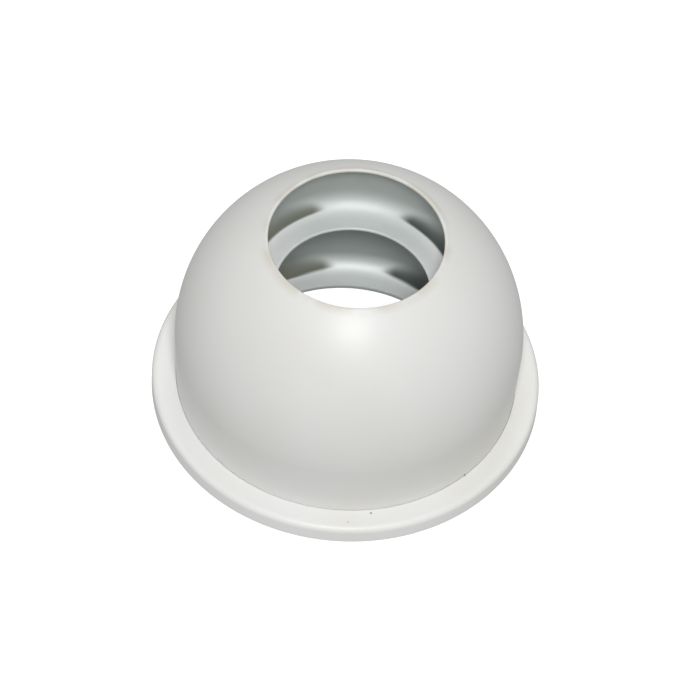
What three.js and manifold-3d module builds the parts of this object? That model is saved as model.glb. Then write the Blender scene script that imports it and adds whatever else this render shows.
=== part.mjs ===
// A dome ventilator for a boat's deck or cabin top: a white hemispherical cowl on a round flange,
// open at the crown, with a wind cup hung under the opening and a duct ring closing the foot.
// Millimetres, +Z up. The origin is the middle of the underside, on the deck's surface.

import * as THREE from 'three';
import { mergeVertices } from 'three/addons/utils/BufferGeometryUtils.js';
import Module from 'manifold-3d';

const wasm = await Module();
wasm.setup();

// ---- Driving sizes ----

// How many flat sides stand for one full turn, of a large ring and of a small one.
const TURN_SIDES = 60;
const SMALL_TURN_SIDES = 12;

// Clearance between two pieces that seat on or in each other.
const FIT_GAP = 0.3;

// Duct ring in the foot. The duct's bore sets the size of the whole vent.
const DUCT_BORE_RADIUS = 51.5;
const DUCT_FLOOR = 3;
const DUCT_FLOOR_WIDTH = 12.8;
const DUCT_WALL = 2.2;
const DUCT_FLARE = 2.3;
const DUCT_FILLET = 8.1;
const DUCT_WALL_DROP = 7.7;
const DUCT_EDGE_ROUND = 1;
const DUCT_LEAD_IN = 1.6;

// Cowl: a hemisphere on a short skirt that tapers in a little towards the flange.
const SHELL_WALL = 1.6;
const SKIRT_TAPER = 1.4;
const DOME_CENTRE_HEIGHT = 35.7;
const OPENING_RADIUS = 35.8;

// Mounting flange. Its width is what shows outside the skirt.
const FLANGE_WIDTH = 9.8;
const FLANGE_THICKNESS = 8.8;
const FLANGE_TOP_ROUND = 2.4;
const FLANGE_FOOT_ROUND = 1.2;
const LEDGE_THICKNESS = 3.8;
const LEDGE_WIDTH = 7;

// Wind cup under the opening. Its wall stands back from the opening's edge.
const CUP_SETBACK = 10.4;
const CUP_WALL = 1.6;
const CUP_FILLET = 9;
const SHELF_DROP = 32.6;
const SHELF_WIDTH = 14.3;

// Deck seal in the flange's underside.
const SEAL_WIDTH = 3.6;
const SEAL_DEPTH = 1.8;

// Blind threaded inserts for the deck screws.
const INSERT_COUNT = 6;
const INSERT_RADIUS = 3.2;
const INSERT_BORE_RADIUS = 2.1;
const INSERT_LENGTH = 6;
const INSERT_GROOVE = 0.5;

// ---- Sizes that follow ----

const SKIRT_SEAT_HEIGHT = LEDGE_THICKNESS + FIT_GAP;
const DUCT_WALL_RADIUS = DUCT_BORE_RADIUS + DUCT_FLOOR_WIDTH;
const DUCT_WALL_HEIGHT = DOME_CENTRE_HEIGHT - DUCT_WALL_DROP;
const SKIRT_FOOT_RADIUS = DUCT_WALL_RADIUS + DUCT_WALL + DUCT_FLARE + FIT_GAP + SHELL_WALL;
const DOME_RADIUS = SKIRT_FOOT_RADIUS + SKIRT_TAPER;
const DOME_INNER_RADIUS = DOME_RADIUS - SHELL_WALL;
const SOCKET_RADIUS = skirtRadius(FLANGE_THICKNESS) + FIT_GAP;
const FLANGE_RADIUS = SOCKET_RADIUS + FLANGE_WIDTH;
const LEDGE_OUTER_RADIUS = SKIRT_FOOT_RADIUS + FIT_GAP;
const LEDGE_INNER_RADIUS = LEDGE_OUTER_RADIUS - LEDGE_WIDTH;
const SEAL_MIDDLE_RADIUS = LEDGE_OUTER_RADIUS - LEDGE_WIDTH / 2;
const INSERT_CIRCLE_RADIUS = (LEDGE_OUTER_RADIUS + FLANGE_RADIUS) / 2;
const EDGE_RADIUS = OPENING_RADIUS + SHELL_WALL / 2;
const EDGE_HEIGHT = ballHeight(DOME_RADIUS - SHELL_WALL / 2, EDGE_RADIUS);
const CROWN_HEIGHT = EDGE_HEIGHT + SHELL_WALL / 2;
const CUP_RADIUS = OPENING_RADIUS + CUP_SETBACK;
const SHELF_HEIGHT = CROWN_HEIGHT - SHELF_DROP;
const SHELF_BORE_RADIUS = CUP_RADIUS - SHELF_WIDTH;

// The skirt's outside radius at a height.
function skirtRadius(height) {
  const drop = (DOME_CENTRE_HEIGHT - height) / (DOME_CENTRE_HEIGHT - SKIRT_SEAT_HEIGHT);
  return DOME_RADIUS - SKIRT_TAPER * drop;
}

// The height at which a ball round the dome's centre has a given radius about the axis.
function ballHeight(ballRadius, radius) {
  return DOME_CENTRE_HEIGHT + Math.sqrt(ballRadius ** 2 - radius ** 2);
}

// ---- Outlines and solids ----

function point(radius, height) {
  return new THREE.Vector2(radius, height);
}

// Points of an arc in the outline's plane. Angles are in degrees, 0 outwards and 90 up.
function arc(radius, height, size, from, to, steps) {
  const points = [];
  for (let i = 0; i <= steps; i += 1) {
    const angle = THREE.MathUtils.degToRad(from + ((to - from) * i) / steps);
    points.push(point(radius + size * Math.cos(angle), height + size * Math.sin(angle)));
  }
  return points;
}

// A ring about the Z axis. The outline runs anticlockwise, with the radius to the right.
function turned(outline, sides = TURN_SIDES) {
  const geometry = new THREE.LatheGeometry([...outline, outline[0].clone()], sides);
  geometry.rotateX(Math.PI / 2);
  return geometry;
}

function toSolid(geometry) {
  const bare = geometry.clone();
  bare.deleteAttribute('normal');
  bare.deleteAttribute('uv');
  const merged = mergeVertices(bare, 1e-4);
  const vertProperties = new Float32Array(merged.attributes.position.array);
  const triVerts = new Uint32Array(merged.index.array);
  return new wasm.Manifold(new wasm.Mesh({ numProp: 3, vertProperties, triVerts }));
}

function toGeometry(solid) {
  const mesh = solid.getMesh();
  const geometry = new THREE.BufferGeometry();
  geometry.setAttribute('position', new THREE.BufferAttribute(mesh.vertProperties, 3));
  geometry.setIndex(new THREE.BufferAttribute(mesh.triVerts, 1));
  geometry.computeVertexNormals();
  return geometry;
}

// ---- Finishes ----

function whiteCoat() {
  return new THREE.MeshStandardMaterial({ color: 0xe9e9e6, roughness: 0.45, metalness: 0 });
}

function satinLiner() {
  return new THREE.MeshStandardMaterial({ color: 0xb4bdb8, roughness: 0.3, metalness: 0.7 });
}

function sealRubber() {
  return new THREE.MeshStandardMaterial({ color: 0x2c2e2f, roughness: 0.8, metalness: 0 });
}

function insertBrass() {
  return new THREE.MeshStandardMaterial({ color: 0xb8964f, roughness: 0.35, metalness: 1 });
}

// ---- Sub-parts ----

const part = new THREE.Group();

function add(name, geometry, material) {
  const mesh = new THREE.Mesh(geometry, material);
  mesh.name = name;
  part.add(mesh);
  return mesh;
}

// The white cowl: skirt, hemisphere and a half-round edge round the opening.
function addCowlShell() {
  const edgeAngle = THREE.MathUtils.radToDeg(
    Math.acos(EDGE_RADIUS / (DOME_RADIUS - SHELL_WALL / 2)),
  );
  const outside = arc(0, DOME_CENTRE_HEIGHT, DOME_RADIUS, 0, edgeAngle, 14);
  const edge = arc(EDGE_RADIUS, EDGE_HEIGHT, SHELL_WALL / 2, edgeAngle, edgeAngle + 180, 6);
  const inside = arc(0, DOME_CENTRE_HEIGHT, DOME_INNER_RADIUS, edgeAngle, 0, 10);
  const outline = [
    point(SKIRT_FOOT_RADIUS - SHELL_WALL, SKIRT_SEAT_HEIGHT),
    point(SKIRT_FOOT_RADIUS, SKIRT_SEAT_HEIGHT),
    ...outside,
    ...edge.slice(1, -1),
    ...inside,
  ];
  add('cowl_shell', turned(outline), whiteCoat());
}

// The blind holes in the flange's underside that the threaded inserts are pressed into.
function insertHoles() {
  const depth = INSERT_LENGTH + 2 * FIT_GAP;
  const overshoot = 1;
  const cutter = new THREE.CylinderGeometry(
    INSERT_RADIUS + FIT_GAP,
    INSERT_RADIUS + FIT_GAP,
    depth + overshoot,
    SMALL_TURN_SIDES,
  );
  cutter.rotateX(Math.PI / 2);
  cutter.translate(INSERT_CIRCLE_RADIUS, 0, (depth - overshoot) / 2);
  return insertAngles().map((angle) => toSolid(cutter.clone().rotateZ(angle)));
}

function insertAngles() {
  const angles = [];
  for (let i = 0; i < INSERT_COUNT; i += 1) {
    angles.push(((i + 0.5) * 2 * Math.PI) / INSERT_COUNT);
  }
  return angles;
}

// The flange: a socket for the cowl's skirt, a ledge under it, and a groove for the seal.
function addFlange() {
  const sealInner = SEAL_MIDDLE_RADIUS - SEAL_WIDTH / 2 - FIT_GAP;
  const sealOuter = SEAL_MIDDLE_RADIUS + SEAL_WIDTH / 2 + FIT_GAP;
  const grooveDepth = SEAL_DEPTH + FIT_GAP;
  const outline = [
    point(LEDGE_INNER_RADIUS, 0),
    point(sealInner, 0),
    point(sealInner, grooveDepth),
    point(sealOuter, grooveDepth),
    point(sealOuter, 0),
    ...arc(FLANGE_RADIUS - FLANGE_FOOT_ROUND, FLANGE_FOOT_ROUND, FLANGE_FOOT_ROUND, -90, 0, 3),
    ...arc(
      FLANGE_RADIUS - FLANGE_TOP_ROUND,
      FLANGE_THICKNESS - FLANGE_TOP_ROUND,
      FLANGE_TOP_ROUND,
      0,
      90,
      5,
    ),
    point(SOCKET_RADIUS, FLANGE_THICKNESS),
    point(LEDGE_OUTER_RADIUS, LEDGE_THICKNESS),
    point(LEDGE_INNER_RADIUS, LEDGE_THICKNESS),
  ];
  const solid = insertHoles().reduce((left, hole) => left.subtract(hole), toSolid(turned(outline)));
  add('mounting_flange', toGeometry(solid), whiteCoat());
}

// The wind cup: a straight wall that reaches up to the inside of the cowl, and a shelf with a bore.
function addWindCup() {
  const outerRadius = CUP_RADIUS + CUP_WALL;
  const outerFillet = CUP_FILLET + CUP_WALL;
  const crown = DOME_INNER_RADIUS - FIT_GAP;
  const lip = CUP_WALL / 2;
  const outline = [
    ...arc(SHELF_BORE_RADIUS + lip, SHELF_HEIGHT - lip, lip, 90, 270, 6),
    ...arc(outerRadius - outerFillet, SHELF_HEIGHT + CUP_FILLET, outerFillet, -90, 0, 5),
    point(outerRadius, ballHeight(crown, outerRadius)),
    point(CUP_RADIUS, ballHeight(crown, CUP_RADIUS)),
    ...arc(CUP_RADIUS - CUP_FILLET, SHELF_HEIGHT + CUP_FILLET, CUP_FILLET, 0, -90, 5),
  ];
  add('wind_cup', turned(outline), satinLiner());
}

// The duct ring: a floor with the duct's bore and its lead-in, and a wall that flares out to the skirt.
function addDuctRing() {
  const plugRadius = LEDGE_INNER_RADIUS - FIT_GAP;
  const topInner = skirtRadius(DUCT_WALL_HEIGHT) - SHELL_WALL - FIT_GAP - DUCT_WALL;
  const footInner = DUCT_WALL_RADIUS;
  const shoulder = SKIRT_SEAT_HEIGHT;
  const round = DUCT_EDGE_ROUND;
  const outline = [
    ...arc(DUCT_BORE_RADIUS + round, DUCT_FLOOR - round, round, 90, 180, 3),
    point(DUCT_BORE_RADIUS, DUCT_LEAD_IN),
    point(DUCT_BORE_RADIUS + DUCT_LEAD_IN, 0),
    point(plugRadius, 0),
    point(plugRadius, shoulder),
    point(footInner + DUCT_WALL, shoulder),
    point(footInner + DUCT_WALL, DUCT_FLOOR + DUCT_FILLET),
    point(topInner + DUCT_WALL, DUCT_WALL_HEIGHT),
    point(topInner, DUCT_WALL_HEIGHT),
    ...arc(footInner - DUCT_FILLET, DUCT_FLOOR + DUCT_FILLET, DUCT_FILLET, 0, -90, 5),
  ];
  add('duct_ring', turned(outline), satinLiner());
}

function addDeckSeal() {
  const inner = SEAL_MIDDLE_RADIUS - SEAL_WIDTH / 2;
  const outer = SEAL_MIDDLE_RADIUS + SEAL_WIDTH / 2;
  const outline = [
    point(inner, 0),
    point(outer, 0),
    point(outer, SEAL_DEPTH),
    point(inner, SEAL_DEPTH),
  ];
  add('deck_seal', turned(outline), sealRubber());
}

// Each insert is a grooved brass sleeve, pressed in from below.
function addThreadedInserts() {
  const middle = INSERT_LENGTH / 2;
  const waist = INSERT_RADIUS - INSERT_GROOVE;
  const outline = [
    point(INSERT_BORE_RADIUS, 0),
    point(INSERT_RADIUS, 0),
    point(INSERT_RADIUS, middle - INSERT_GROOVE),
    point(waist, middle),
    point(INSERT_RADIUS, middle + INSERT_GROOVE),
    point(INSERT_RADIUS, INSERT_LENGTH),
    point(INSERT_BORE_RADIUS, INSERT_LENGTH),
  ];
  insertAngles().forEach((angle, i) => {
    const insert = add(`threaded_insert_${i + 1}`, turned(outline, SMALL_TURN_SIDES), insertBrass());
    insert.position.set(
      INSERT_CIRCLE_RADIUS * Math.cos(angle),
      INSERT_CIRCLE_RADIUS * Math.sin(angle),
      FIT_GAP,
    );
  });
}

addCowlShell();
addFlange();
addWindCup();
addDuctRing();
addDeckSeal();
addThreadedInserts();

export default part;
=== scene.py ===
"""A dome ventilator for a boat's deck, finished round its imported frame. Metres, +Z up."""
import math
from collections import namedtuple
import bmesh
import bpy
from bpy.props import FloatProperty, FloatVectorProperty, IntProperty, PointerProperty
from mathutils import Matrix, Vector


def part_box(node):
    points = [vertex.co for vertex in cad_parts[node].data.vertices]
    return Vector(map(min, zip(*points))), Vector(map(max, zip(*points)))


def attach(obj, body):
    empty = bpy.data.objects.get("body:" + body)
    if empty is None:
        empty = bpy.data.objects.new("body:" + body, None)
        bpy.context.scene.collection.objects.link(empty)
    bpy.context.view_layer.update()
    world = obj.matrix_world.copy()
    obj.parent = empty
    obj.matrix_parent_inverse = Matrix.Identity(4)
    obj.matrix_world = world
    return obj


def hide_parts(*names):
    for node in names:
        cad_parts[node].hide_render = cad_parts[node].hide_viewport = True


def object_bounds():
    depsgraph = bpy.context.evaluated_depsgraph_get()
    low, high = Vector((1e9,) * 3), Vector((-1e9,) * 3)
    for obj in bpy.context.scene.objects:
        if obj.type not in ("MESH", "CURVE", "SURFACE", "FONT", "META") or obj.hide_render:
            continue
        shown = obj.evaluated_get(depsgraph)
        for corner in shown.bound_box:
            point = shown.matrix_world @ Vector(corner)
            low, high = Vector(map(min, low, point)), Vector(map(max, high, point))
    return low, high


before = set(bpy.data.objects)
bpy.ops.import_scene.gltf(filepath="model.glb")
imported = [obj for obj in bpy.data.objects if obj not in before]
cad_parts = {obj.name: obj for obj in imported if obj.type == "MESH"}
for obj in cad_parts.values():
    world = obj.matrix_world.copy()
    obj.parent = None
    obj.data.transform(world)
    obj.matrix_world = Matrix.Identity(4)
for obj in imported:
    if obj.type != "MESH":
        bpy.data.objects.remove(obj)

CAD_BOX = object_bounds()
BODY = "root"
MM = 0.001

bl_info = {
    "name": "Dome vent",
    "version": (1, 0, 0),
    "blender": (4, 5, 0),
    "location": "View3D > Sidebar > Dome vent",
    "description": "Makes the pieces of a dome ventilator and the stage it stands on",
    "category": "Object",
}

COWL_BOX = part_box("cowl_shell")
FLANGE_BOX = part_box("mounting_flange")
RING_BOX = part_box("duct_ring")
SEAL_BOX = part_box("deck_seal")
INSERT_NODES = sorted(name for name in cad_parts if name.startswith("threaded_insert"))
INSERT_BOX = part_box(INSERT_NODES[0])
SEAL_WIDTH = 3.6 * MM
SEAL_LAND = 1.4 * MM    # between the seal's groove and the flange's bore
COWL_CENTRE = 35.7 * MM
INSERT_BORE = 2.1 * MM
THREAD_PITCH = 0.7 * MM


def box_middle(box):
    """The middle of a box."""
    return (Vector(box[0]) + Vector(box[1])) / 2


# ---- Sizes and colours a user may change ----

def length(name, description, default):
    """A length in metres that a user may change."""
    return FloatProperty(
        name=name, description=description, default=default, min=0.0, subtype="DISTANCE", unit="LENGTH"
    )


def colour(name, description, default):
    """A linear colour that a user may change."""
    return FloatVectorProperty(
        name=name, description=description, default=default, size=3, min=0.0, max=1.0, subtype="COLOR"
    )


class DOMEVENT_PG_sizes(bpy.types.PropertyGroup):
    """The vent's sizes"""
    dome_radius: length("Dome radius", "Outside radius of the cowl's ball", COWL_BOX[1][0])
    crown_height: length("Crown height", "Height of the opening's edge", COWL_BOX[1][2])
    foot_height: length("Foot height", "Height where the skirt seats in the flange", COWL_BOX[0][2])
    skirt_taper: length("Skirt taper", "How far the skirt leans in at its foot", 1.4 * MM)
    shell_wall: length("Cowl wall", "Thickness of the cowl", 1.6 * MM)
    opening_radius: length("Opening radius", "Inside radius of the crown opening", 35.8 * MM)
    flange_radius: length("Flange radius", "Outside radius of the flange", FLANGE_BOX[1][0])
    flange_thickness: length("Flange thickness", "Thickness of the flange", FLANGE_BOX[1][2])
    flange_round: length("Flange round", "Radius of the flange's upper edge", 2.4 * MM)
    seat_gap: length("Seat gap", "Gap where one piece seats on another", 0.3 * MM)
    joint_gap: length("Joint gap", "Gap that shows round the foot of the cowl", 0.08 * MM)
    cup_radius: length("Cup radius", "Inside radius of the wind cup's wall", 46.2 * MM)
    cup_fillet: length("Cup fillet", "Radius of the hollow at the cup's shelf", 9.0 * MM)
    shelf_height: length("Shelf height", "Height of the cup's shelf", 65.1 * MM)
    shelf_bore: length("Shelf bore", "Radius of the bore in the shelf", 31.9 * MM)
    cup_thickness: length("Cup thickness", "Thickness of the cup's metal", 1.6 * MM)
    ring_thickness: length("Ring thickness", "Thickness of the ring's wall", 2.2 * MM)
    ring_radius: length("Ring radius", "Inside radius of the duct ring's wall", 64.3 * MM)
    ring_fillet: length("Ring fillet", "Radius of the hollow at the ring's floor", 8.1 * MM)
    ring_floor: length("Ring floor", "Thickness of the ring's floor", 3.0 * MM)
    duct_bore: length("Duct bore", "Radius of the bore for the duct", 51.5 * MM)
    duct_lead_in: length("Duct lead-in", "Slope at the foot of the duct's bore", 1.6 * MM)
    turn_steps: IntProperty(
        name="Steps in a turn", description="Faces round each turned piece", default=240, min=24, max=720
    )


class DOMEVENT_PG_finishes(bpy.types.PropertyGroup):
    """The vent's colours"""
    cowl_white: colour("Cowl white", "Colour of the cowl", (0.79, 0.79, 0.775))
    # Painted light: the flange's white is lighter than the cowl's, standing in for the light on its top face.
    flange_lit_white: colour("Flange white", "Colour of the flange", (0.88, 0.88, 0.868))
    rim_stain: colour("Rim stain", "Colour of the weathering round the opening", (0.60, 0.57, 0.46))
    # Painted shade: the shelf and floor colours are lit copies of one metal, and the wall colours are darker,
    # shaded copies.
    cup_shelf: colour("Cup shelf", "Colour of the cup's shelf", (0.78, 0.82, 0.81))
    ring_floor: colour("Ring floor", "Colour of the ring's floor", (0.94, 0.98, 0.97))
    cup_wall_shaded: colour("Cup wall", "Colour of the cup's wall", (0.50, 0.535, 0.515))
    ring_wall_shaded: colour("Ring wall", "Colour of the ring's wall", (0.37, 0.41, 0.40))
    liner_stain: colour("Liner stain", "Colour of the liner's faint stains", (0.40, 0.41, 0.33))
    # Painted dark reflections at the foot of the liners' walls, olive on the left and darker on the right.
    left_dark_reflection: colour("Left tarnish", "Colour of the tarnish on the left", (0.105, 0.112, 0.074))
    right_dark_reflection: colour("Right tarnish", "Colour of the tarnish on the right", (0.034, 0.050, 0.047))
    # Real dirt in the white coat's joint, specks and scratches; also painted shade at the duct bore's edge.
    grime_and_bore_shade: colour("Grime", "Colour of the dirt in the joints", (0.10, 0.095, 0.085))
    rubber: colour("Rubber", "Colour of the deck seal", (0.025, 0.027, 0.028))
    brass: colour("Brass", "Colour of the inserts", (0.62, 0.43, 0.17))
    floor: colour("Floor", "Colour of the floor", (0.90, 0.90, 0.90))


def socket_radius(sizes):
    """Radius of the hole in the flange's top that the skirt stands in."""
    lean = (COWL_CENTRE - sizes.flange_thickness) / (COWL_CENTRE - sizes.foot_height)
    return sizes.dome_radius - sizes.skirt_taper * lean + sizes.joint_gap


# ---- Outlines in the plane of radius and height ----

def arc(centre, radius, start, end, steps):
    """Points of an arc, its angles in degrees, 0 outwards and 90 up."""
    points = []
    for step in range(steps + 1):
        angle = math.radians(start + (end - start) * step / steps)
        points.append(Vector((centre[0] + radius * math.cos(angle), centre[1] + radius * math.sin(angle))))
    return points


def rounded_corner(before, corner, after, size, steps=7):
    """The points that round one corner, as far as its two sides allow."""
    to_before = before - corner
    to_after = after - corner
    half = to_before.angle(to_after) / 2
    reach = min(size / math.tan(half), 0.45 * to_before.length, 0.45 * to_after.length)
    radius = reach * math.tan(half)
    middle = to_before.normalized() + to_after.normalized()
    centre = corner + middle.normalized() * reach / math.cos(half)
    first = corner + to_before.normalized() * reach - centre
    last = corner + to_after.normalized() * reach - centre
    points = []
    for step in range(steps + 1):
        share = step / steps
        direction = first.slerp(last, share, first)
        points.append(centre + direction.normalized() * radius)
    return points


def rounded(corners):
    """A closed outline from corners of radius, height and rounding; arcs come in as unrounded corners."""
    spots = [Vector(corner[:2]) for corner in corners]
    points = []
    for index, corner in enumerate(corners):
        if corner[2] > 0:
            before = spots[index - 1]
            after = spots[(index + 1) % len(spots)]
            points += rounded_corner(before, spots[index], after, corner[2])
        else:
            points.append(spots[index])
    return points


def plain(points):
    """Outline points that take no rounding."""
    return [(point[0], point[1], 0.0) for point in points]


def supported(points, margin=0.35 * MM, spacing=2.5 * MM):
    """The outline closed, with extra points along its long sides, so that flat stays flat."""
    result = []
    for index, point in enumerate(points):
        after = points[(index + 1) % len(points)]
        result.append(point)
        gap = (after - point).length
        if gap > 3 * margin:
            count = max(1, round((gap - 2 * margin) / spacing))
            for step in range(count + 1):
                share = (margin + (gap - 2 * margin) * step / count) / gap
                result.append(point.lerp(after, share))
    result.append(points[0].copy())
    return result


# ---- Geometry Nodes ----

class Tree:
    """A Geometry Nodes tree with named inputs, one geometry in and one out."""

    def __init__(self, name, inputs):
        self.group = bpy.data.node_groups.new(name, "GeometryNodeTree")
        face = self.group.interface
        face.new_socket("Geometry", in_out="INPUT", socket_type="NodeSocketGeometry")
        for label, kind in inputs:
            face.new_socket(label, in_out="INPUT", socket_type=kind)
        face.new_socket("Geometry", in_out="OUTPUT", socket_type="NodeSocketGeometry")
        self.start = self.group.nodes.new("NodeGroupInput")
        self.end = self.group.nodes.new("NodeGroupOutput")

    def given(self, label):
        """The socket of a named input."""
        return self.start.outputs[label]

    def node(self, kind, settings=None, sockets=None, output=0):
        """A node's output, after its settings, and the values or links of its sockets."""
        node = self.group.nodes.new(kind)
        for key, value in (settings or {}).items():
            setattr(node, key, value)
        for key, value in (sockets or {}).items():
            if isinstance(value, bpy.types.NodeSocket):
                self.group.links.new(value, node.inputs[key])
            else:
                node.inputs[key].default_value = value
        return node.outputs[output]

    def maths(self, operation, *values):
        """One sum on numbers or sockets."""
        sockets = dict(enumerate(values))
        return self.node("ShaderNodeMath", {"operation": operation}, sockets)

    def finish(self, geometry):
        """Ends the tree as plain faces in the given material."""
        real = self.node("GeometryNodeRealizeInstances", sockets={"Geometry": geometry})
        done = self.node(
            "GeometryNodeSetMaterial", sockets={"Geometry": real, "Material": self.given("Material")}
        )
        self.group.links.new(done, self.end.inputs[0])
        return self.group


def turning_tree():
    """Turns an outline of points about the Z axis and closes its seams."""
    tree = Tree("turned_outline", [("Steps", "NodeSocketInt"), ("Material", "NodeSocketMaterial")])
    outline = tree.given("Geometry")
    steps = tree.given("Steps")
    count = tree.node("GeometryNodeAttributeDomainSize", {"component": "MESH"}, {0: outline}, "Point Count")
    rows = tree.maths("ADD", steps, 1.0)
    grid = tree.node("GeometryNodeMeshGrid", sockets={"Vertices X": count, "Vertices Y": rows}, output="Mesh")
    index = tree.node("GeometryNodeInputIndex")
    column = tree.maths("FLOOR", tree.maths("DIVIDE", tree.maths("ADD", index, 0.5), rows))
    row = tree.maths("SUBTRACT", index, tree.maths("MULTIPLY", column, rows))
    place = tree.node("GeometryNodeInputPosition")
    spot = tree.node(
        "GeometryNodeSampleIndex",
        {"data_type": "FLOAT_VECTOR", "domain": "POINT"},
        {"Geometry": outline, "Value": place, "Index": column},
    )
    radius = tree.node("ShaderNodeSeparateXYZ", sockets={0: spot}, output="X")
    height = tree.node("ShaderNodeSeparateXYZ", sockets={0: spot}, output="Z")
    part_turn = tree.maths("DIVIDE", tree.maths("MODULO", row, steps), steps)
    angle = tree.maths("MULTIPLY", part_turn, 2 * math.pi)
    across = tree.maths("MULTIPLY", radius, tree.maths("COSINE", angle))
    along = tree.maths("MULTIPLY", radius, tree.maths("SINE", angle))
    position = tree.node("ShaderNodeCombineXYZ", sockets={"X": across, "Y": along, "Z": height})
    moved = tree.node("GeometryNodeSetPosition", sockets={"Geometry": grid, "Position": position})
    closed = tree.node("GeometryNodeMergeByDistance", sockets={"Geometry": moved, "Distance": 1e-6})
    return tree.finish(closed)


def ring_of_tree():
    """Stands copies of a piece evenly on a circle."""
    tree = Tree(
        "pieces_on_circle",
        [
            ("Count", "NodeSocketInt"),
            ("Circle Radius", "NodeSocketFloat"),
            ("First Angle", "NodeSocketFloat"),
            ("Height", "NodeSocketFloat"),
            ("Material", "NodeSocketMaterial"),
        ],
    )
    circle = tree.node(
        "GeometryNodeMeshCircle",
        sockets={"Vertices": tree.given("Count"), "Radius": tree.given("Circle Radius")},
    )
    turn = tree.node("ShaderNodeCombineXYZ", sockets={"Z": tree.given("First Angle")})
    lift = tree.node("ShaderNodeCombineXYZ", sockets={"Z": tree.given("Height")})
    placed = tree.node(
        "GeometryNodeTransform", sockets={"Geometry": circle, "Rotation": turn, "Translation": lift}
    )
    index = tree.node("GeometryNodeInputIndex")
    share = tree.maths("DIVIDE", index, tree.given("Count"))
    own_turn = tree.node("ShaderNodeCombineXYZ", sockets={"Z": tree.maths("MULTIPLY", share, 2 * math.pi)})
    copies = tree.node(
        "GeometryNodeInstanceOnPoints",
        sockets={"Points": placed, "Instance": tree.given("Geometry"), "Rotation": own_turn},
    )
    return tree.finish(copies)


def grown(piece, group, values):
    """Runs a tree on a piece and leaves the result as its plain mesh."""
    modifier = piece.modifiers.new(group.name, "NODES")
    modifier.node_group = group
    for item in group.interface.items_tree:
        if item.item_type == "SOCKET" and item.in_out == "INPUT" and item.name in values:
            modifier[item.identifier] = values[item.name]
    settled(piece)


def settled(piece):
    """Applies every modifier of a piece to its mesh."""
    graph = bpy.context.evaluated_depsgraph_get()
    mesh = bpy.data.meshes.new_from_object(piece.evaluated_get(graph), depsgraph=graph)
    piece.modifiers.clear()
    piece.data = mesh
    mesh.name = piece.name


def facing_out(piece, sharp_angle=40):
    """Turns a closed piece's faces outwards and shades it smooth between its sharp edges."""
    mesh = piece.data
    work = bmesh.new()
    work.from_mesh(mesh)
    bmesh.ops.recalc_face_normals(work, faces=work.faces)
    work.to_mesh(mesh)
    work.free()
    for face in mesh.polygons:
        face.use_smooth = True
    mesh.set_sharp_from_angle(angle=math.radians(sharp_angle))


def new_piece(name, points, faces=()):
    """A linked object with its place in its mesh."""
    mesh = bpy.data.meshes.new(name)
    mesh.from_pydata(points, [], faces)
    mesh.update()
    piece = bpy.data.objects.new(name, mesh)
    bpy.context.scene.collection.objects.link(piece)
    return piece


def turned_piece(name, outline, steps, material):
    """A ring turned from a closed outline."""
    points = [(point[0], 0.0, point[1]) for point in supported(outline)]
    piece = new_piece(name, points)
    group = bpy.data.node_groups.get("turned_outline") or turning_tree()
    grown(piece, group, {"Steps": steps, "Material": material})
    facing_out(piece)
    return piece


def hand_over(piece, slot, *nodes):
    """Ties a finished piece to the frame."""
    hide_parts(*nodes)
    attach(piece, BODY)


# ---- Materials ----

class Wire:
    """A shader socket that can be used in sums."""

    def __init__(self, paint, socket):
        self.paint = paint
        self.socket = socket

    def sum(self, operation, first, second):
        """A Math node on two wires or numbers."""
        return self.paint.node("ShaderNodeMath", {"operation": operation}, {0: first, 1: second})

    def __add__(self, other):
        return self.sum("ADD", self, other)

    def __radd__(self, other):
        return self.sum("ADD", other, self)

    def __sub__(self, other):
        return self.sum("SUBTRACT", self, other)

    def __rsub__(self, other):
        return self.sum("SUBTRACT", other, self)

    def __mul__(self, other):
        return self.sum("MULTIPLY", self, other)

    def __rmul__(self, other):
        return self.sum("MULTIPLY", other, self)

    def __truediv__(self, other):
        return self.sum("DIVIDE", self, other)

    def __pow__(self, other):
        return self.sum("POWER", self, other)

    def __abs__(self):
        return self.sum("ABSOLUTE", self, 0.0)


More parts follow.
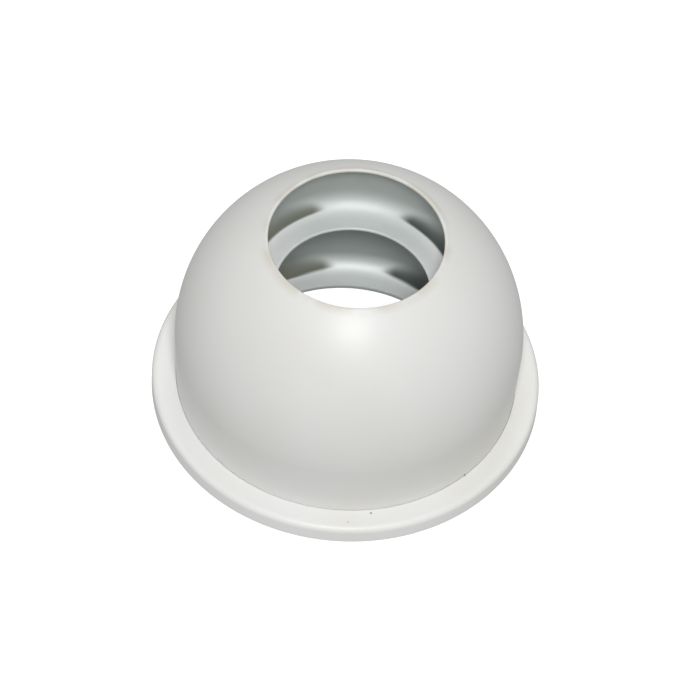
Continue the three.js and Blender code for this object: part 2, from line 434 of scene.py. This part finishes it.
class Paint:
    """A procedural material, painted in the object's own coordinates."""

    def __init__(self, name):
        self.material = bpy.data.materials.new(name)
        self.material.use_nodes = True
        self.tree = self.material.node_tree
        self.shader = self.tree.nodes["Principled BSDF"]
        self.place = self.node("ShaderNodeTexCoord", output="Object")
        self.x = self.node("ShaderNodeSeparateXYZ", sockets={0: self.place}, output="X")
        self.y = self.node("ShaderNodeSeparateXYZ", sockets={0: self.place}, output="Y")
        self.z = self.node("ShaderNodeSeparateXYZ", sockets={0: self.place}, output="Z")
        self.radius = (self.x * self.x + self.y * self.y) ** 0.5
        self.angle = self.node("ShaderNodeMath", {"operation": "ARCTAN2"}, {0: self.y, 1: self.x})

    def node(self, kind, settings=None, sockets=None, output=0):
        """A node's output as a wire, after its settings, and the values or links of its sockets."""
        node = self.tree.nodes.new(kind)
        for key, value in (settings or {}).items():
            setattr(node, key, value)
        for key, value in (sockets or {}).items():
            if isinstance(value, Wire):
                self.tree.links.new(value.socket, node.inputs[key])
            else:
                node.inputs[key].default_value = value
        return Wire(self, node.outputs[output])

    def grain(self, scale, detail=3.0, roughness=0.5, vector=None):
        """Noise of about 0 to 1, its scale in bumps per metre."""
        sockets = {"Vector": vector or self.place, "Scale": scale, "Detail": detail, "Roughness": roughness}
        return self.node("ShaderNodeTexNoise", sockets=sockets)

    def spread(self, value, low, high, out_low=0.0, out_high=1.0):
        """A value carried from one span to another and held inside it."""
        return self.node(
            "ShaderNodeMapRange",
            {"clamp": True, "interpolation_type": "SMOOTHSTEP"},
            {0: value, 1: low, 2: high, 3: out_low, 4: out_high},
        )

    def near(self, value, middle, width):
        """1 at the middle, falling to 0 a width away."""
        return self.spread(abs(value - middle), 0.0, width, 1.0, 0.0)

    def blend(self, share, first, second):
        """A colour between two colours."""
        sockets = {0: share, 6: self.as_colour(first), 7: self.as_colour(second)}
        return self.node("ShaderNodeMix", {"data_type": "RGBA"}, sockets, 2)

    def vector(self, x, y, z):
        """A vector from three wires or numbers."""
        return self.node("ShaderNodeCombineXYZ", sockets={0: x, 1: y, 2: z})

    def spot(self, centre, size):
        """1 at a point of the surface, falling to 0 a size away."""
        sockets = {0: self.place, 1: tuple(centre)}
        away = self.node("ShaderNodeVectorMath", {"operation": "DISTANCE"}, sockets, "Value")
        return self.spread(away, 0.35 * size, size, 1.0, 0.0)

    def scratch(self, first, last, width):
        """1 along a straight line between two points, falling to 0 a width away."""
        start = Vector(first)
        along = Vector(last) - start
        sockets = {0: self.place, 1: tuple(start)}
        offset = self.node("ShaderNodeVectorMath", {"operation": "SUBTRACT"}, sockets)
        sockets = {0: offset, 1: tuple(along / along.length_squared)}
        share = self.node("ShaderNodeVectorMath", {"operation": "DOT_PRODUCT"}, sockets, "Value")
        share = self.node("ShaderNodeClamp", sockets={0: share})
        sockets = {0: tuple(along), 3: share}
        nearest = self.node("ShaderNodeVectorMath", {"operation": "SCALE"}, sockets)
        sockets = {0: offset, 1: nearest}
        away = self.node("ShaderNodeVectorMath", {"operation": "DISTANCE"}, sockets, "Value")
        return self.spread(away, 0.0, width, 1.0, 0.0)

    @staticmethod
    def as_colour(value):
        """A wire as it is, or a colour with its alpha."""
        return value if isinstance(value, Wire) else (*value, 1.0)

    def set(self, **values):
        """Puts a constant or a wire on the shader's own sockets."""
        for key, value in values.items():
            socket = self.shader.inputs[key.replace("_", " ")]
            if isinstance(value, Wire):
                self.tree.links.new(value.socket, socket)
            elif isinstance(value, tuple):
                socket.default_value = (*value, 1.0)
            else:
                socket.default_value = value

    def bump(self, height, strength, distance):
        """Raises the surface by a height of 0 to 1 times a distance."""
        sockets = {"Height": height, "Strength": strength, "Distance": distance}
        self.set(Normal=self.node("ShaderNodeBump", sockets=sockets))


def at_turn(degrees, radius, height):
    """A point at a turn about the axis, 0 towards +X and 90 towards +Y."""
    turn = math.radians(degrees)
    return (radius * math.cos(turn), radius * math.sin(turn), height)


def white_coat(name, white, finishes, sizes, specks, scratches):
    """A stoved white coat: a faint orange peel, dirt in the joint, and a few specks and scratches."""
    paint = Paint(name)
    clean = tuple(white)
    aged = (clean[0] * 0.97, clean[1] * 0.965, clean[2] * 0.94)
    cloud = paint.grain(22.0, 4.0)
    shade = paint.blend(paint.spread(cloud, 0.35, 0.75), clean, aged)
    rim = paint.near(paint.radius, sizes.opening_radius + 1.0 * MM, 3.5 * MM)
    rim = rim * paint.spread(paint.grain(60.0, 3.0), 0.34, 0.60)
    shade = paint.blend(0.55 * rim, shade, tuple(finishes.rim_stain))
    in_joint = paint.near(paint.radius, socket_radius(sizes), 0.9 * MM)
    in_joint = in_joint * paint.near(paint.z, sizes.flange_thickness, 1.2 * MM)
    patchy = paint.spread(paint.grain(260.0, 4.0, 0.65), 0.50, 0.74)
    dirt = in_joint * (0.01 + 0.18 * patchy)
    for degrees, radius, height, size, strength in specks:
        dirt = dirt + strength * paint.spot(at_turn(degrees, radius, height), size)
    scratched = 0.0
    for first, last, width in scratches:
        scratched = paint.scratch(first, last, width) + scratched
    dirt = paint.spread(dirt + 0.20 * scratched, 0.0, 1.0)
    fine = paint.grain(1900.0, 2.0)
    peel = paint.grain(430.0, 2.0, 0.4)
    paint.set(
        Base_Color=paint.blend(dirt, shade, tuple(finishes.grime_and_bore_shade)),
        Roughness=0.33 + 0.10 * cloud + 0.05 * peel + 0.25 * dirt,
        Specular_IOR_Level=0.5,
    )
    paint.bump(0.75 * peel + 0.25 * fine - 0.6 * scratched, 0.16, 0.05 * MM)
    return paint.material


# The wedges of painted dark reflection in the cup and in the ring.
DarkReflection = namedtuple("DarkReflection", "left right growth inner low reach")
CUP_DARK_REFLECTION = DarkReflection(left=15.0, right=19.0, growth=0.46, inner=41.0 * MM, low=66.7 * MM, reach=11.0 * MM)
RING_DARK_REFLECTION = DarkReflection(left=5.0, right=8.5, growth=0.33, inner=58.4 * MM, low=4.5 * MM, reach=12.0 * MM)
TURNING_MARKS = 2600.0


def dark_reflection_mask(paint, tarnish, aside, to_right):
    """1 where the foot of the wall gets painted dark reflections: wedges on both sides, at the front and at
    the back.

    A wedge starts at the left or right angle from the front or back. It grows over a share of the half
    width, outside the inner radius, from the low height to a reach above it, while its lower edge sinks a
    little.
    """
    left = math.sin(math.radians(tarnish.left))
    right = math.sin(math.radians(tarnish.right))
    first = left + (right - left) * to_right
    sockets = {0: aside, 1: first, 2: first + tarnish.growth}
    growth = paint.node("ShaderNodeMapRange", {"clamp": True}, sockets)
    above = paint.z - tarnish.low + 1.2 * MM * growth
    mask = paint.spread(growth, 0.0, 0.45)
    mask = mask * paint.spread(paint.radius, tarnish.inner - 0.5 * MM, tarnish.inner + 0.9 * MM)
    mask = mask * paint.spread(above, -0.7 * MM, 0.5 * MM)
    return mask * paint.spread(above, 0.0, 0.8 * MM + tarnish.reach * growth, 1.0, 0.0)


def satin_liner(name, finishes, colours, foot, fillet, tarnish, bore):
    """Satin metal with turning marks: a shelf painted lighter at its sides, a wall darkened with painted
    shade, wedges of painted dark reflection, and painted shade at the bore's edge.

    A bore of 0 leaves that edge without the painted shade.
    """
    paint = Paint(name)
    # The first colour is the lit copy; the second is the copy darkened with painted shade.
    clean, dull = (tuple(shade) for shade in colours)
    aside = abs(paint.x) / paint.radius
    to_right = paint.spread(paint.x, -5.0 * MM, 5.0 * MM)
    cloud = paint.grain(34.0, 4.0)
    # Painted light: the shelf is lighter towards its left and right sides.
    sides_painted_lighter = tuple(min(0.99, 1.25 * value) for value in clean)
    shelf = paint.blend(paint.spread(aside, 0.35, 1.0), clean, sides_painted_lighter)
    # Painted shade: the wall is darker than the shelf, from low in the fillet upwards.
    rise = paint.spread(paint.z, foot + 0.10 * fillet, foot + 1.0 * fillet)
    shade = paint.blend(rise, shelf, dull)
    stained = paint.spread(cloud, 0.46, 0.80) * (0.08 + 0.30 * rise)
    shade = paint.blend(stained, shade, tuple(finishes.liner_stain))
    # Painted dark reflections: wedges at the foot of the wall, with a different colour on each side.
    dark = dark_reflection_mask(paint, tarnish, aside, to_right) * (0.84 + 0.06 * to_right)
    painted_dark_colour = paint.blend(to_right, tuple(finishes.left_dark_reflection), tuple(finishes.right_dark_reflection))
    # Painted shade: a dark band just outside the duct bore's edge.
    edge = paint.spread(paint.radius, bore, bore + 1.0 * MM, 0.6, 0.0)
    painted_dark_colour = paint.blend(edge, painted_dark_colour, tuple(finishes.grime_and_bore_shade))
    dark = paint.spread(dark + edge, 0.0, 1.0)
    across = paint.vector(paint.radius * TURNING_MARKS, paint.angle * 1.5, paint.z * TURNING_MARKS)
    rings = paint.grain(1.0, 3.0, 0.6, across)
    paint.set(
        Base_Color=paint.blend(dark, shade, painted_dark_colour),
        Metallic=0.30 * (1.0 - dark),
        Roughness=0.50 + 0.10 * cloud + 0.06 * rings + 0.08 * dark,
    )
    paint.bump(rings, 0.10, 0.03 * MM)
    return paint.material


def seal_rubber(name, finishes):
    """Moulded rubber with a fine bloom."""
    paint = Paint(name)
    black = tuple(finishes.rubber)
    bloom = paint.spread(paint.grain(90.0, 4.0), 0.4, 0.8)
    grit = paint.grain(2600.0, 3.0)
    paint.set(
        Base_Color=paint.blend(0.35 * bloom, black, tuple(3.0 * value for value in black)),
        Roughness=0.62 + 0.2 * bloom + 0.1 * grit,
    )
    paint.bump(grit, 0.25, 0.05 * MM)
    return paint.material


def insert_brass(name, finishes):
    """Turned brass, a little tarnished."""
    paint = Paint(name)
    bright = tuple(finishes.brass)
    dull = tuple(0.55 * value for value in bright)
    tarnish = paint.spread(paint.grain(420.0, 4.0), 0.35, 0.75)
    lines = paint.grain(1.0, 2.0, 0.5, paint.vector(0.0, 0.0, paint.z * 9000.0))
    paint.set(
        Base_Color=paint.blend(0.6 * tarnish, bright, dull),
        Metallic=1.0,
        Roughness=0.24 + 0.18 * tarnish + 0.05 * lines,
    )
    paint.bump(lines, 0.15, 0.03 * MM)
    return paint.material


def floor_paint(name, finishes):
    """A plain pale floor, lit a little from within so that it stays even."""
    paint = Paint(name)
    pale = tuple(finishes.floor)
    cloud = paint.grain(3.0, 2.0)
    paint.set(
        Base_Color=paint.blend(0.5 * cloud, pale, tuple(0.99 * value for value in pale)),
        Roughness=0.7,
        Emission_Color=(1.0, 1.0, 1.0),
        Emission_Strength=0.55,
    )
    return paint.material


# ---- Outlines of the pieces ----

def cowl_centre(sizes):
    """Height of the ball's centre, from the crown's height and the opening."""
    middle = sizes.dome_radius - sizes.shell_wall / 2
    edge = sizes.opening_radius + sizes.shell_wall / 2
    return sizes.crown_height - sizes.shell_wall / 2 - math.sqrt(middle ** 2 - edge ** 2)


def cowl_outline(sizes):
    """The skirt, the ball and the half-round edge of the opening."""
    wall = sizes.shell_wall
    radius = sizes.dome_radius
    centre = cowl_centre(sizes)
    edge = sizes.opening_radius + wall / 2
    angle = math.degrees(math.acos(edge / (radius - wall / 2)))
    rise = math.sqrt((radius - wall / 2) ** 2 - edge ** 2)
    foot = radius - sizes.skirt_taper
    outside = arc((0.0, centre), radius, 0, angle, 44)
    crown = arc((edge, centre + rise), wall / 2, angle, angle + 180, 12)
    inside = arc((0.0, centre), radius - wall, angle, 0, 36)
    return rounded(
        [
            (foot - wall, sizes.foot_height, 0.3 * MM),
            (foot, sizes.foot_height, 0.3 * MM),
            *plain(outside + crown[1:-1] + inside),
        ]
    )


def flange_outline(sizes):
    """The flange: its socket for the skirt, the ledge under it and the seal's groove."""
    gap = sizes.seat_gap
    socket = socket_radius(sizes)
    ledge = sizes.foot_height - gap
    seal_outer = SEAL_BOX[1][0] + gap
    seal_inner = SEAL_BOX[1][0] - SEAL_WIDTH - gap
    groove = SEAL_BOX[1][2] + gap
    inner = seal_inner - SEAL_LAND
    small = 0.25 * MM
    return rounded(
        [
            (inner, 0.0, small),
            (seal_inner, 0.0, small),
            (seal_inner, groove, small),
            (seal_outer, groove, small),
            (seal_outer, 0.0, small),
            (sizes.flange_radius, 0.0, 1.1 * MM),
            (sizes.flange_radius, sizes.flange_thickness, sizes.flange_round),
            (socket, sizes.flange_thickness, small),
            (socket, ledge, small),
            (inner, ledge, small),
        ]
    )


def cup_outline(sizes):
    """The wind cup: its wall up to the inside of the cowl, a hollow fillet and a shelf."""
    wall = sizes.cup_thickness
    inner = sizes.cup_radius
    outer = inner + wall
    shelf = sizes.shelf_height
    ball = sizes.dome_radius - sizes.shell_wall - sizes.seat_gap
    centre = cowl_centre(sizes)
    lip = arc((sizes.shelf_bore + wall / 2, shelf - wall / 2), wall / 2, 90, 270, 12)
    fillet = sizes.cup_fillet
    hollow = (inner - fillet, shelf + fillet)
    return rounded(
        [
            *plain(lip),
            *plain(arc(hollow, fillet + wall, -90, 0, 14)),
            (outer, centre + math.sqrt(ball ** 2 - outer ** 2), 0.3 * MM),
            (inner, centre + math.sqrt(ball ** 2 - inner ** 2), 0.3 * MM),
            *plain(arc(hollow, fillet, 0, -90, 14)),
        ]
    )


def ring_outline(sizes):
    """The duct ring: a floor with the duct's bore, a hollow fillet and a wall out to the skirt."""
    wall = sizes.ring_thickness
    top = RING_BOX[1][2]
    floor = sizes.ring_floor
    shoulder = sizes.foot_height
    plug = SEAL_BOX[1][0] - SEAL_WIDTH - SEAL_LAND - 2 * sizes.seat_gap
    inner = sizes.ring_radius
    top_outer = RING_BOX[1][0]
    fillet = sizes.ring_fillet
    hollow = (inner - fillet, floor + fillet)
    return rounded(
        [
            (sizes.duct_bore, floor, 0.8 * MM),
            (sizes.duct_bore, sizes.duct_lead_in, 0.2 * MM),
            (sizes.duct_bore + sizes.duct_lead_in, 0.0, 0.2 * MM),
            (plug, 0.0, 0.3 * MM),
            (plug, shoulder, 0.2 * MM),
            (inner + wall, shoulder, 0.3 * MM),
            (inner + wall, floor + fillet, 0.0),
            (top_outer, top, 0.4 * MM),
            (top_outer - wall, top, 0.4 * MM),
            *plain(arc(hollow, fillet, 0, -90, 14)),
        ]
    )


def seal_outline():
    """The deck seal: a soft bead that stands in the flange's groove."""
    inner = SEAL_BOX[1][0] - SEAL_WIDTH
    outer = SEAL_BOX[1][0]
    top = SEAL_BOX[1][2]
    low = SEAL_BOX[0][2]
    middle = (inner + outer) / 2
    return rounded(
        [
            (inner, low + 0.5 * MM, 0.3 * MM),
            (inner + 0.7 * MM, low, 0.3 * MM),
            (middle - 0.4 * MM, low + 0.35 * MM, 0.3 * MM),
            (middle + 0.4 * MM, low + 0.35 * MM, 0.3 * MM),
            (outer - 0.7 * MM, low, 0.3 * MM),
            (outer, low + 0.5 * MM, 0.3 * MM),
            (outer, top, 0.4 * MM),
            (inner, top, 0.4 * MM),
        ]
    )


# ---- Inserts ----

def insert_points(radius, bore, height, around=72):
    """Rows of points for one insert: a knurled sleeve outside and a thread in its bore."""
    knurl = 0.16 * MM
    depth = 0.35 * MM
    edge = 0.3 * MM
    levels = [0.0, edge, 0.34 * height, 0.42 * height, 0.58 * height, 0.66 * height, height - edge, height]
    waist = radius - 0.5 * MM
    outer = [radius - edge, radius, radius, waist, waist, radius, radius, radius - edge]
    knurled = [0, 1, 1, 0, 0, 1, 1, 0]
    rows = []
    for level, size, rough in zip(levels, outer, knurled):
        rows.append([(size - knurl * rough * (step % 3 == 0), level) for step in range(around)])
    count = 40
    for row in range(count + 1):
        level = height * (1 - row / count)
        fade = min(1.0, 4 * min(row, count - row) / count)
        thread = []
        for step in range(around):
            phase = (level / THREAD_PITCH + step / around) % 1.0
            wave = 1 - abs(2 * phase - 1)
            thread.append((bore + depth * fade * wave, level))
        rows.append(thread)
    return rows


def make_insert_mesh(name, radius, bore, height):
    """One threaded insert standing on the origin."""
    rows = insert_points(radius, bore, height)
    around = len(rows[0])
    points = []
    for row in rows:
        for step, (size, level) in enumerate(row):
            turn = 2 * math.pi * step / around
            points.append((size * math.cos(turn), size * math.sin(turn), level))
    faces = []
    for row in range(len(rows)):
        below = ((row + 1) % len(rows)) * around
        for step in range(around):
            after = (step + 1) % around
            faces.append((row * around + step, row * around + after, below + after, below + step))
    return new_piece(name, points, faces)


def insert_places():
    """The inserts' count, circle radius and first angle, from the frame."""
    middle = box_middle(INSERT_BOX)
    spots = [box_middle(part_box(name)) for name in INSERT_NODES]
    first = min(math.atan2(spot.y, spot.x) % (2 * math.pi) for spot in spots)
    return len(spots), middle.xy.length, first


def cut_insert_holes(flange):
    """Cuts the inserts' blind holes out of the flange's underside."""
    count, circle, first = insert_places()
    clearance = 0.3 * MM
    radius = (INSERT_BOX[1][0] - INSERT_BOX[0][0]) / 2 + clearance
    top = INSERT_BOX[1][2] + clearance
    low = -1.0 * MM
    work = bmesh.new()
    for index in range(count):
        turn = first + 2 * math.pi * index / count
        place = Vector((circle * math.cos(turn), circle * math.sin(turn), (low + top) / 2))
        bmesh.ops.create_cone(
            work,
            cap_ends=True,
            segments=40,
            radius1=radius,
            radius2=radius,
            depth=top - low,
            matrix=Matrix.Translation(place),
        )
    mesh = bpy.data.meshes.new("insert_drill")
    work.to_mesh(mesh)
    work.free()
    drill = bpy.data.objects.new("insert_drill", mesh)
    bpy.context.scene.collection.objects.link(drill)
    cut = flange.modifiers.new("holes", "BOOLEAN")
    cut.operation = "DIFFERENCE"
    cut.solver = "EXACT"
    cut.object = drill
    settled(flange)
    bpy.data.objects.remove(drill)
    facing_out(flange)


# ---- Operators ----

def sizes_of(context):
    """The sizes that the sidebar shows."""
    return context.scene.dome_vent_sizes


def finishes_of(context):
    """The colours that the sidebar shows."""
    return context.scene.dome_vent_finishes


# Each speck's turn in degrees, radius, height, size and strength.
COWL_SPECKS = [
    (-134.4, 70.9 * MM, 9.5 * MM, 0.7 * MM, 0.40),
    (-132.4, 71.0 * MM, 10.1 * MM, 0.7 * MM, 0.35),
    (-91.9, 71.0 * MM, 10.4 * MM, 0.6 * MM, 0.30),
    (-50.0, 71.1 * MM, 11.6 * MM, 0.6 * MM, 0.25),
    (-42.9, 70.9 * MM, 9.3 * MM, 0.8 * MM, 0.60),
    (128.0, 70.9 * MM, 9.4 * MM, 0.7 * MM, 0.40),
    (17.0, 70.9 * MM, 9.6 * MM, 0.6 * MM, 0.35),
]
FLANGE_SPECKS = [
    (-42.9, 71.2 * MM, 8.8 * MM, 0.7 * MM, 0.45),
    (-78.4, 72.8 * MM, 8.8 * MM, 0.7 * MM, 0.75),
    (-85.8, 76.9 * MM, 8.8 * MM, 0.6 * MM, 0.45),
    (96.0, 75.4 * MM, 8.8 * MM, 0.6 * MM, 0.45),
]
# Each scratch's first point, last point and width.
COWL_SCRATCHES = [
    ((57.0 * MM, -29.2 * MM, 68.8 * MM), (61.3 * MM, -22.2 * MM, 66.4 * MM), 0.30 * MM),
    ((16.0 * MM, 37.5 * MM, 95.2 * MM), (24.5 * MM, 29.0 * MM, 97.0 * MM), 0.30 * MM),
]


class DOMEVENT_OT_cowl(bpy.types.Operator):
    """Turn the white cowl with its skirt and rounded opening"""
    bl_idname = "domevent.cowl"
    bl_label = "Make cowl"

    def execute(self, context):
        sizes = sizes_of(context)
        finishes = finishes_of(context)
        white = finishes.cowl_white
        coat = white_coat("cowl_white_coat", white, finishes, sizes, COWL_SPECKS, COWL_SCRATCHES)
        piece = turned_piece("cowl", cowl_outline(sizes), sizes.turn_steps, coat)
        hand_over(piece, "white_coat", "cowl_shell")
        return {"FINISHED"}


class DOMEVENT_OT_flange(bpy.types.Operator):
    """Turn the flange and cut the inserts' blind holes in its underside"""
    bl_idname = "domevent.flange"
    bl_label = "Make flange"

    def execute(self, context):
        sizes = sizes_of(context)
        finishes = finishes_of(context)
        # Painted light: the flange's coat takes a lighter white than the cowl's.
        coat = white_coat("flange_lit_white_coat", finishes.flange_lit_white, finishes, sizes, FLANGE_SPECKS, [])
        piece = turned_piece("flange", flange_outline(sizes), sizes.turn_steps, coat)
        cut_insert_holes(piece)
        hand_over(piece, "white_coat", "mounting_flange")
        return {"FINISHED"}


class DOMEVENT_OT_cup(bpy.types.Operator):
    """Turn the wind cup under the opening"""
    bl_idname = "domevent.cup"
    bl_label = "Make wind cup"

    def execute(self, context):
        sizes = sizes_of(context)
        finishes = finishes_of(context)
        shelf = sizes.shelf_height
        colours = (finishes.cup_shelf, finishes.cup_wall_shaded)
        metal = satin_liner("cup_satin", finishes, colours, shelf, sizes.cup_fillet, CUP_DARK_REFLECTION, 0.0)
        piece = turned_piece("cup", cup_outline(sizes), sizes.turn_steps, metal)
        hand_over(piece, "satin_liner", "wind_cup")
        return {"FINISHED"}


class DOMEVENT_OT_ring(bpy.types.Operator):
    """Turn the duct ring in the foot"""
    bl_idname = "domevent.ring"
    bl_label = "Make duct ring"

    def execute(self, context):
        sizes = sizes_of(context)
        finishes = finishes_of(context)
        floor = sizes.ring_floor
        colours = (finishes.ring_floor, finishes.ring_wall_shaded)
        bore = sizes.duct_bore
        metal = satin_liner("ring_satin", finishes, colours, floor, sizes.ring_fillet, RING_DARK_REFLECTION, bore)
        piece = turned_piece("ring", ring_outline(sizes), sizes.turn_steps, metal)
        hand_over(piece, "satin_liner", "duct_ring")
        return {"FINISHED"}


class DOMEVENT_OT_seal(bpy.types.Operator):
    """Turn the rubber seal in the flange's underside"""
    bl_idname = "domevent.seal"
    bl_label = "Make deck seal"

    def execute(self, context):
        rubber = seal_rubber("seal_rubber", finishes_of(context))
        piece = turned_piece("seal", seal_outline(), sizes_of(context).turn_steps, rubber)
        hand_over(piece, "seal_rubber", "deck_seal")
        return {"FINISHED"}


class DOMEVENT_OT_inserts(bpy.types.Operator):
    """Stand the threaded inserts in their holes"""
    bl_idname = "domevent.inserts"
    bl_label = "Make inserts"

    def execute(self, context):
        count, circle, first = insert_places()
        radius = (INSERT_BOX[1][0] - INSERT_BOX[0][0]) / 2
        height = INSERT_BOX[1][2] - INSERT_BOX[0][2]
        piece = make_insert_mesh("inserts", radius, INSERT_BORE, height)
        values = {
            "Count": count,
            "Circle Radius": circle,
            "First Angle": first,
            "Height": INSERT_BOX[0][2],
            "Material": insert_brass("insert_brass", finishes_of(context)),
        }
        grown(piece, ring_of_tree(), values)
        facing_out(piece)
        hand_over(piece, "insert_brass", *INSERT_NODES)
        return {"FINISHED"}


# The view: its distance from the point it aims at, its lift and roll, and the lens.
VIEW_DISTANCE = 2.0752
VIEW_ELEVATION = 51.746
VIEW_ROLL = 4.489
VIEW_LENS = 259.74
VIEW_TARGET = (-0.00064, 0.0, 0.02681)
SENSOR_WIDTH = 36.0

# Each lamp's elevation, turn from the front, width and power.
KEY_LAMP = (55.0, 3.0, 0.26, 12.4)
BACK_LAMP = (62.0, 180.0, 0.60, 3.0)
LAMP_DISTANCE = 1.6
WORLD_STRENGTH = 0.47
FLOOR_HALF = 4.0


def direction_at(elevation, aside=0.0):
    """The direction from the object towards a lamp or camera, turned to the right from the front."""
    lift = math.radians(elevation)
    turn = math.radians(aside)
    return Vector((math.cos(lift) * math.sin(turn), -math.cos(lift) * math.cos(turn), math.sin(lift)))


def aimed(away, roll=0.0):
    """A turn that looks back along a direction, rolled about it in degrees."""
    facing = (-away).to_track_quat("-Z", "Y").to_matrix()
    return (facing @ Matrix.Rotation(math.radians(roll), 3, "Z")).to_4x4()


def linked(name, data):
    """A new object in the scene."""
    thing = bpy.data.objects.new(name, data)
    bpy.context.scene.collection.objects.link(thing)
    return thing


def make_camera():
    """The camera, aimed at its target from the front and above."""
    lens = bpy.data.cameras.new("view")
    lens.sensor_width = SENSOR_WIDTH
    lens.lens = VIEW_LENS
    lens.clip_end = 50.0
    camera = linked("view", lens)
    away = direction_at(VIEW_ELEVATION)
    place = Matrix.Translation(Vector(VIEW_TARGET) + away * VIEW_DISTANCE)
    camera.matrix_world = place @ aimed(away, VIEW_ROLL)
    bpy.context.scene.camera = camera


def make_lamp(name, elevation, aside, width, power):
    """A round lamp aimed at the middle of the object."""
    lamp = bpy.data.lights.new(name, "AREA")
    lamp.shape = "DISK"
    lamp.size = width
    lamp.energy = power
    away = direction_at(elevation, aside)
    middle = box_middle(CAD_BOX)
    linked(name, lamp).matrix_world = Matrix.Translation(middle + away * LAMP_DISTANCE) @ aimed(away)


def make_world():
    """Even white light from all round."""
    world = bpy.data.worlds.new("white_room")
    world.use_nodes = True
    sky = world.node_tree.nodes["Background"]
    sky.inputs["Color"].default_value = (1.0, 1.0, 1.0, 1.0)
    sky.inputs["Strength"].default_value = WORLD_STRENGTH
    bpy.context.scene.world = world


class DOMEVENT_OT_stage(bpy.types.Operator):
    """Lay the floor and set the lights and the camera"""
    bl_idname = "domevent.stage"
    bl_label = "Make stage"

    def execute(self, context):
        corners = [(-1, -1), (1, -1), (1, 1), (-1, 1)]
        points = [(x * FLOOR_HALF, y * FLOOR_HALF, CAD_BOX[0][2]) for x, y in corners]
        floor = new_piece("floor", points, [(0, 1, 2, 3)])
        floor.data.materials.append(floor_paint("floor_white", finishes_of(context)))
        floor.visible_diffuse = False
        floor.visible_glossy = False
        make_lamp("key", *KEY_LAMP)
        make_lamp("back", *BACK_LAMP)
        make_world()
        make_camera()
        context.scene.view_settings.view_transform = "Standard"
        return {"FINISHED"}


class DOMEVENT_PT_panel(bpy.types.Panel):
    """Lists what makes the vent"""
    bl_idname = "DOMEVENT_PT_panel"
    bl_label = "Dome vent"
    bl_space_type = "VIEW_3D"
    bl_region_type = "UI"
    bl_category = "Dome vent"

    def draw(self, context):
        for operator in OPERATORS:
            self.layout.operator(operator.bl_idname)
        for group in (sizes_of(context), finishes_of(context)):
            for key in group.__annotations__:
                self.layout.prop(group, key)


OPERATORS = (
    DOMEVENT_OT_cowl,
    DOMEVENT_OT_flange,
    DOMEVENT_OT_cup,
    DOMEVENT_OT_ring,
    DOMEVENT_OT_seal,
    DOMEVENT_OT_inserts,
    DOMEVENT_OT_stage,
)
CLASSES = (DOMEVENT_PG_sizes, DOMEVENT_PG_finishes, *OPERATORS, DOMEVENT_PT_panel)


def register():
    """Adds the classes and the scene's properties."""
    for item in CLASSES:
        bpy.utils.register_class(item)
    bpy.types.Scene.dome_vent_sizes = PointerProperty(type=DOMEVENT_PG_sizes)
    bpy.types.Scene.dome_vent_finishes = PointerProperty(type=DOMEVENT_PG_finishes)


def unregister():
    """Takes the scene's properties and the classes away."""
    del bpy.types.Scene.dome_vent_finishes
    del bpy.types.Scene.dome_vent_sizes
    for item in reversed(CLASSES):
        bpy.utils.unregister_class(item)


def main():
    """Makes every piece and the stage."""
    register()
    for operator in OPERATORS:
        group, name = operator.bl_idname.split(".")
        getattr(getattr(bpy.ops, group), name)()


if __name__ == "__main__":
    main()
